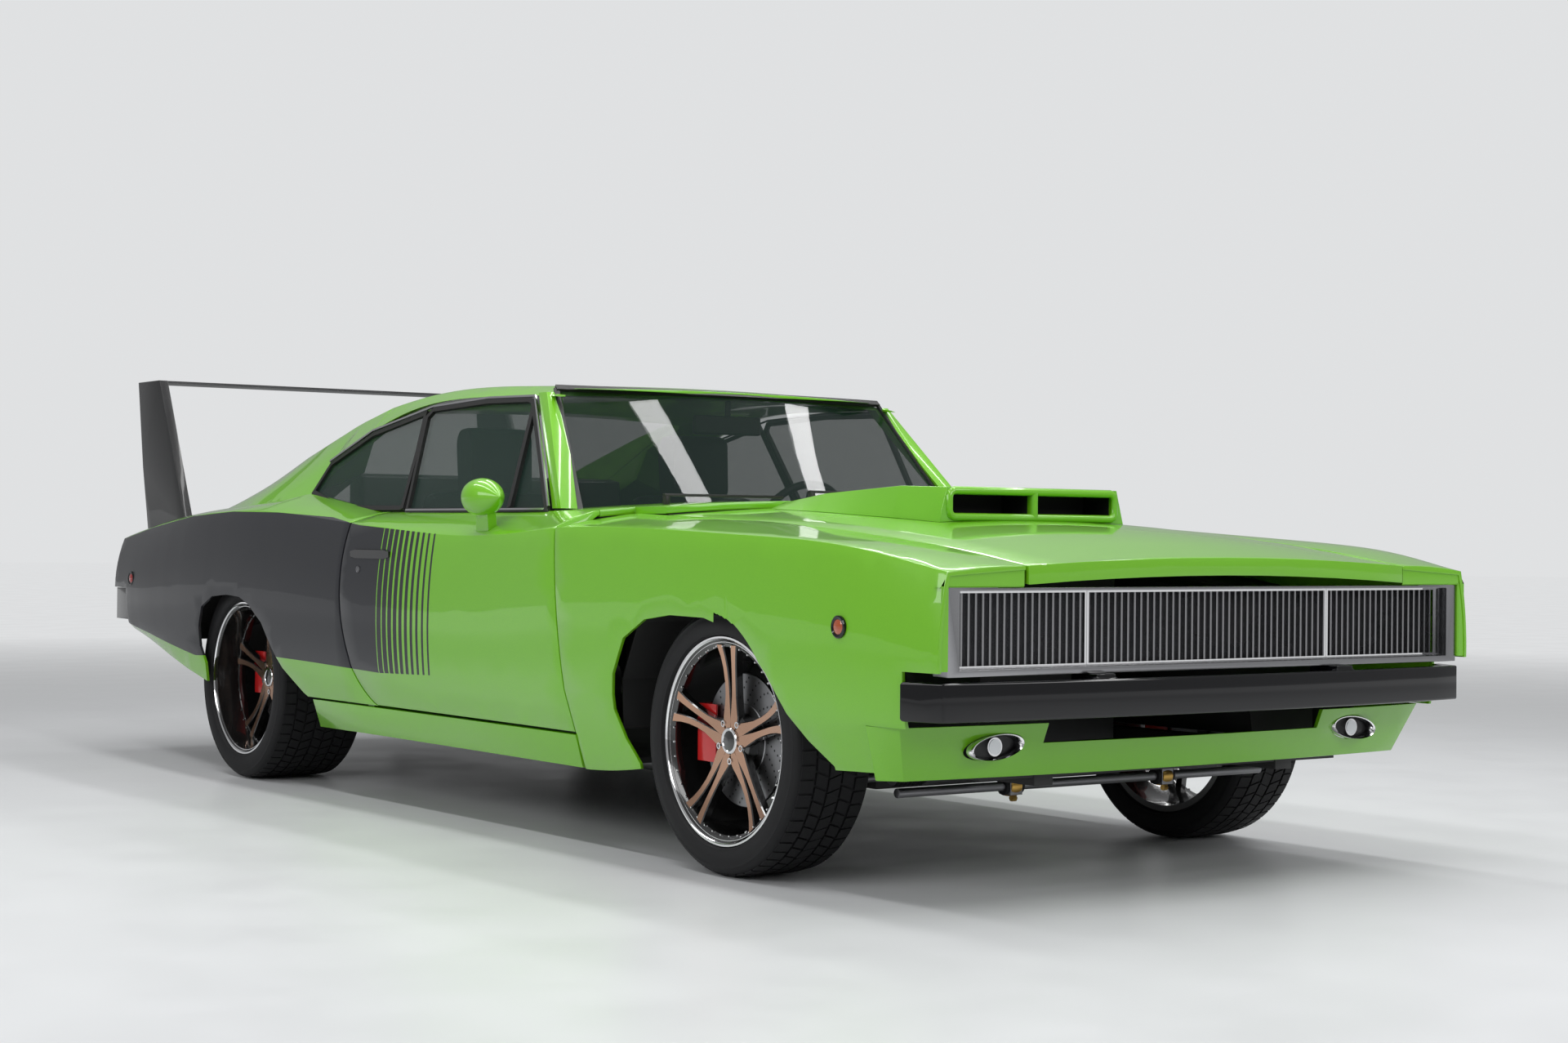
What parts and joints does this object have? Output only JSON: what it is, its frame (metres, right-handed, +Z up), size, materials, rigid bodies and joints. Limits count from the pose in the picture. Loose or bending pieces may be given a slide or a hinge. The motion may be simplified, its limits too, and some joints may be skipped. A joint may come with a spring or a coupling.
{
  "type": "two-door fastback muscle car",
  "caption": "Two-door fastback coupe with hidden-lamp grille, scooped hood, opening doors and lids, steered and turning wheels, and a tall rear wing.",
  "frame": {"origin": "on the ground, midway across and midway between the front and rear bumpers", "axes": "+Z up, the car faces -Y, its left side is +X"},
  "size_m": [1.9482, 5.2818, 1.4599],
  "materials": {
    "paint_green": "gloss",
    "paint_black": "gloss",
    "satin_black": "satin",
    "chrome": "polished",
    "glass": "clear",
    "tyre": "matte",
    "rim_alloy": "machined",
    "steel": "brushed",
    "cast": "rough",
    "under_body": "matte",
    "trim_black": "matte",
    "seat": "matte",
    "lamp_red": "gloss",
    "lamp_clear": "gloss",
    "brake_red": "gloss"
  },
  "bodies": {
    "body": {"fender_left": "paint_green", "fender_right": "paint_green", "roof": "paint_green", "cowl_panel": "paint_green", "front_valance": "paint_green", "sills": "paint_green", "deck_filler": "paint_green", "quarter_panel_left": "satin_black", "quarter_panel_right": "satin_black", "tail_panel": "satin_black", "rear_wing": "satin_black", "front_bumper": "paint_black", "rear_bumper": "paint_black", "grille_surround": "chrome", "windscreen": "glass", "rear_window": "glass", "quarter_glass": "glass", "front_suspension": "steel", "exhaust": "steel", "engine": "cast", "rear_axle": "cast", "floor_pan": "under_body", "front_subframe": "under_body", "front_wheelhouses": "under_body", "rear_wheelhouses": "under_body", "fuel_tank": "under_body", "grille": "trim_black", "wipers": "trim_black", "dashboard": "trim_black", "rear_bulkhead": "trim_black", "front_seats": "seat", "rear_seat": "seat", "tail_lamps": "lamp_red", "driving_lamps": "lamp_clear", "calipers_rear": "brake_red"},
    "hood": {"hood": "paint_green", "hood_scoop": "paint_green"},
    "trunk_lid": {"trunk_lid": "paint_green"},
    "door_left": {"door_left": "paint_green", "door_glass_left": "glass", "mirror_left": "paint_green"},
    "door_right": {"door_right": "paint_green", "door_glass_right": "glass", "mirror_right": "paint_green"},
    "steering_wheel": {"steering_wheel": "trim_black"},
    "knuckle_left": {"knuckle_left": "steel", "caliper_front_left": "brake_red"},
    "knuckle_right": {"knuckle_right": "steel", "caliper_front_right": "brake_red"},
    "wheel_front_left": {"rim_front_left": "rim_alloy", "tyre_front_left": "tyre"},
    "wheel_front_right": {"rim_front_right": "rim_alloy", "tyre_front_right": "tyre"},
    "wheel_rear_left": {"rim_rear_left": "rim_alloy", "tyre_rear_left": "tyre"},
    "wheel_rear_right": {"rim_rear_right": "rim_alloy", "tyre_rear_right": "tyre"}
  },
  "joints": [
    {"name": "steer_left", "type": "hinge", "parent": "body", "child": "knuckle_left", "pos_m": [0.78, -1.704, 0.345], "axis": [0, 0, 1], "range_deg": [-28, 28]},
    {"name": "spin_front_left", "type": "hinge", "parent": "knuckle_left", "child": "wheel_front_left", "pos_m": [0.78, -1.704, 0.345], "axis": [1, 0, 0], "continuous": true},
    {"name": "spin_rear_left", "type": "hinge", "parent": "body", "child": "wheel_rear_left", "pos_m": [0.75, 1.268, 0.352], "axis": [1, 0, 0], "continuous": true},
    {"name": "door_left_hinge", "type": "hinge", "parent": "body", "child": "door_left", "pos_m": [0.953, -0.905, 0.6], "axis": [0, 0, -1], "range_deg": [0, 65]},
    {"name": "steer_right", "type": "hinge", "parent": "body", "child": "knuckle_right", "pos_m": [-0.78, -1.704, 0.345], "axis": [0, 0, 1], "range_deg": [-28, 28]},
    {"name": "spin_front_right", "type": "hinge", "parent": "knuckle_right", "child": "wheel_front_right", "pos_m": [-0.78, -1.704, 0.345], "axis": [1, 0, 0], "continuous": true},
    {"name": "spin_rear_right", "type": "hinge", "parent": "body", "child": "wheel_rear_right", "pos_m": [-0.75, 1.268, 0.352], "axis": [1, 0, 0], "continuous": true},
    {"name": "door_right_hinge", "type": "hinge", "parent": "body", "child": "door_right", "pos_m": [-0.953, -0.905, 0.6], "axis": [0, 0, 1], "range_deg": [0, 65]},
    {"name": "hood_hinge", "type": "hinge", "parent": "body", "child": "hood", "pos_m": [0, -1.085, 0.96], "axis": [-1, 0, 0], "range_deg": [0, 50]},
    {"name": "trunk_lid_hinge", "type": "hinge", "parent": "body", "child": "trunk_lid", "pos_m": [0, 1.573, 0.984], "axis": [1, 0, 0], "range_deg": [0, 60]},
    {"name": "steering_wheel_turn", "type": "hinge", "parent": "body", "child": "steering_wheel", "pos_m": [0.38, -0.3, 0.872], "axis": [0, 0.9397, 0.342], "range_deg": [-337, 337]}
  ],
  "couplings": [
    {"joint": "steer_right", "follows": "steer_left", "ratio": 1},
    {"joint": "steering_wheel_turn", "follows": "steer_left", "ratio": 12}
  ]
}
